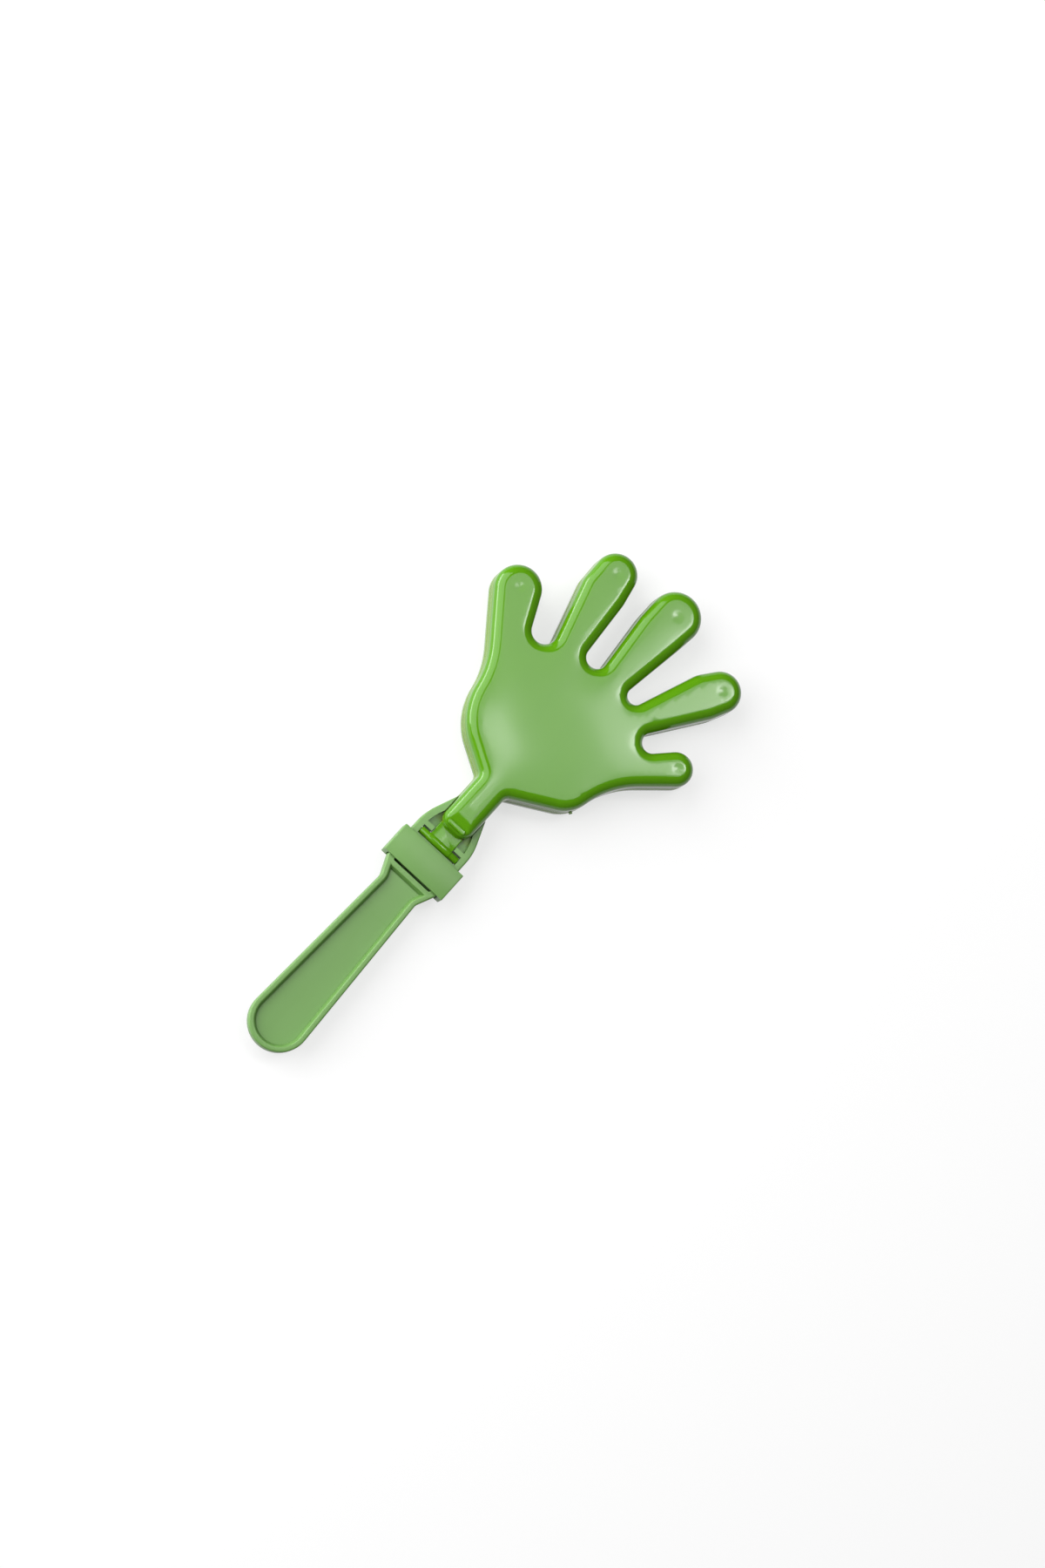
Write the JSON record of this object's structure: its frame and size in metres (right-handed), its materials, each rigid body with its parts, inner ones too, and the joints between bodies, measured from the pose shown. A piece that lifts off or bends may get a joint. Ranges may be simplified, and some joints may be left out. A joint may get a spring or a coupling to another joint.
{
  "type": "hand clapper",
  "caption": "Plastic noisemaker: a flat middle hand moulded with a flat grip, a hollow hand hinged on each side that claps against it, and a sleeve that locks the hinge.",
  "frame": {"origin": "middle of the palm on the outer face of the rear hand, which is the face the clapper rests on", "axes": "+Y along the clapper from the grip to the fingertips, +X across it to the thumb's side, +Z out of the front hand's palm face"},
  "size_m": [0.1258, 0.28, 0.0236],
  "materials": {
    "handle": "satin moulded polypropylene",
    "hands": "gloss moulded polystyrene",
    "collar": "satin moulded polypropylene"
  },
  "bodies": {
    "handle": {"handle": "handle"},
    "front_hand": {"front_hand": "hands"},
    "rear_hand": {"rear_hand": "hands"},
    "collar": {"collar": "collar"}
  },
  "joints": [
    {"name": "front_hinge", "type": "hinge", "parent": "handle", "child": "front_hand", "pos_m": [0, -0.0844, 0.01395], "axis": [1, 0, 0], "range_deg": [0, 116]},
    {"name": "rear_hinge", "type": "hinge", "parent": "handle", "child": "rear_hand", "pos_m": [0, -0.0844, 0.00965], "axis": [-1, 0, 0], "range_deg": [0, 116]},
    {"name": "collar_slide", "type": "slide", "parent": "handle", "child": "collar", "axis": [0, -1, 0], "range_m": [0, 0.1]}
  ]
}
